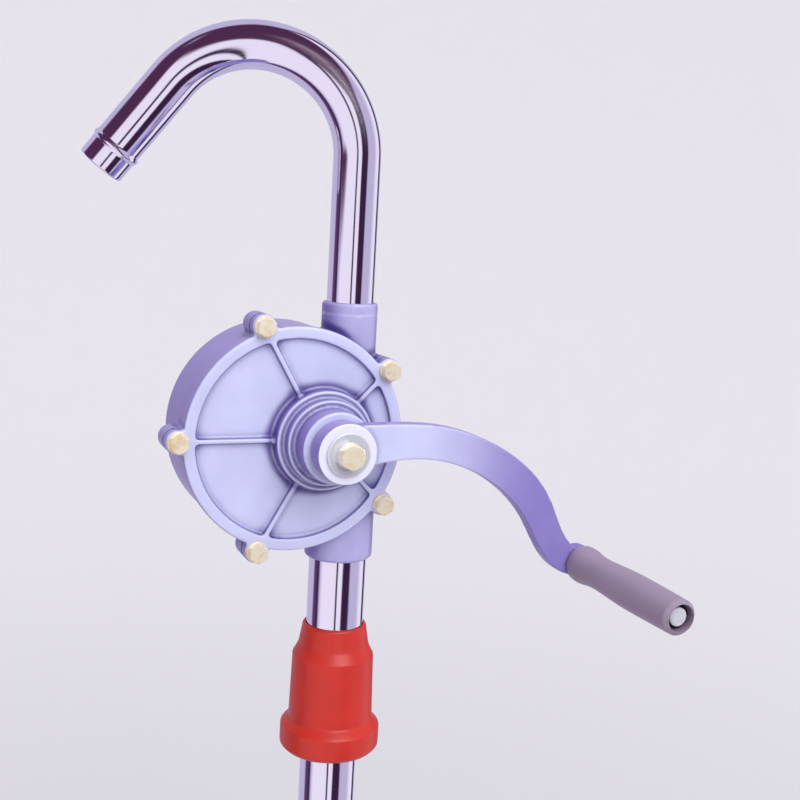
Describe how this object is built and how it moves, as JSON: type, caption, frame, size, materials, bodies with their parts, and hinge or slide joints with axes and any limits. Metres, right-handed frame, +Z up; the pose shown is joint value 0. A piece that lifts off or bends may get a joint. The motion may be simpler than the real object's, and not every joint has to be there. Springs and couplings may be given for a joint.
{
  "type": "rotary hand transfer pump",
  "caption": "Hand-cranked rotary vane drum pump with ribbed cover, swivelling gooseneck spout, sectioned suction tube and sliding threaded bung adapter",
  "frame": {"origin": "on the suction tube's axis, at the middle of the bung adapter's threaded rim", "axes": "+Z up along the suction tube, +X from the casing's centre to the tube, cover and crank face -Y"},
  "size_m": [0.2753, 0.2368, 1.2746],
  "materials": {
    "casting_paint": "semi-gloss enamel on a casting",
    "chrome_tube": "polished chrome plate",
    "red_nylon": "moulded, satin",
    "grip_plastic": "moulded, fine texture",
    "zinc_steel": "yellow-white zinc plate",
    "bright_steel": "turned and ground",
    "rotor_iron": "machined",
    "vane_plastic": "machined acetal",
    "bush_bronze": "sintered bronze",
    "seal_rubber": "moulded nitrile",
    "gasket_fibre": "compressed fibre sheet"
  },
  "bodies": {
    "adapter": {"bung_adapter": "red_nylon"},
    "grip_ring": {"tube_grip_ring": "seal_rubber"},
    "pump": {"pump_body": "casting_paint", "front_cover": "casting_paint", "cover_gasket": "gasket_fibre", "cover_washers": "zinc_steel", "cover_bolts": "zinc_steel", "front_bush": "bush_bronze", "rear_bush": "bush_bronze", "shaft_seal": "seal_rubber", "seal_garter": "bright_steel", "spout_seal": "seal_rubber", "spout_set_screw": "bright_steel", "inlet_seal": "seal_rubber", "inlet_set_screw": "bright_steel", "suction_tube_upper": "chrome_tube", "suction_tube_middle": "chrome_tube", "suction_tube_lower": "chrome_tube", "tube_coupling_upper": "chrome_tube", "tube_coupling_lower": "chrome_tube"},
    "crank": {"rotor": "rotor_iron", "crank_arm": "casting_paint", "crank_washer": "bright_steel", "crank_lock_washer": "bright_steel", "crank_bolt": "zinc_steel", "grip_spindle": "bright_steel", "spindle_nut": "zinc_steel", "grip_clip": "bright_steel"},
    "handle_sleeve": {"grip_sleeve": "grip_plastic"},
    "spreader": {"vane_spreader": "seal_rubber"},
    "vanes": {"vane_upper": "vane_plastic", "vane_lower": "vane_plastic"},
    "spout": {"spout_tube": "chrome_tube"}
  },
  "joints": [
    {"name": "adapter_swivel", "type": "hinge", "parent": "adapter", "child": "grip_ring", "pos_m": [0, 0, 0.05], "axis": [0, 0, 1], "continuous": true},
    {"name": "tube_slide", "type": "slide", "parent": "grip_ring", "child": "pump", "axis": [0, 0, 1], "range_m": [-0.039, 0.161]},
    {"name": "crank_turn", "type": "hinge", "parent": "pump", "child": "crank", "pos_m": [-0.0225, 0, 0.18595], "axis": [0, 1, 0], "continuous": true},
    {"name": "spreader_orbit", "type": "hinge", "parent": "pump", "child": "spreader", "pos_m": [-0.03025, 0, 0.18595], "axis": [0, 1, 0], "continuous": true},
    {"name": "vane_turn", "type": "hinge", "parent": "spreader", "child": "vanes", "pos_m": [-0.0225, 0, 0.18595], "axis": [0, 1, 0], "continuous": true},
    {"name": "grip_spin", "type": "hinge", "parent": "crank", "child": "handle_sleeve", "pos_m": [0.119, -0.1275, 0.12095], "axis": [0, 1, 0], "continuous": true},
    {"name": "spout_swivel", "type": "hinge", "parent": "pump", "child": "spout", "pos_m": [0, 0, 0.24595], "axis": [0, 0, 1], "range_deg": [-170, 30]}
  ],
  "couplings": [
    {"joint": "spreader_orbit", "follows": "crank_turn", "ratio": 2},
    {"joint": "vane_turn", "follows": "crank_turn", "ratio": -1}
  ]
}
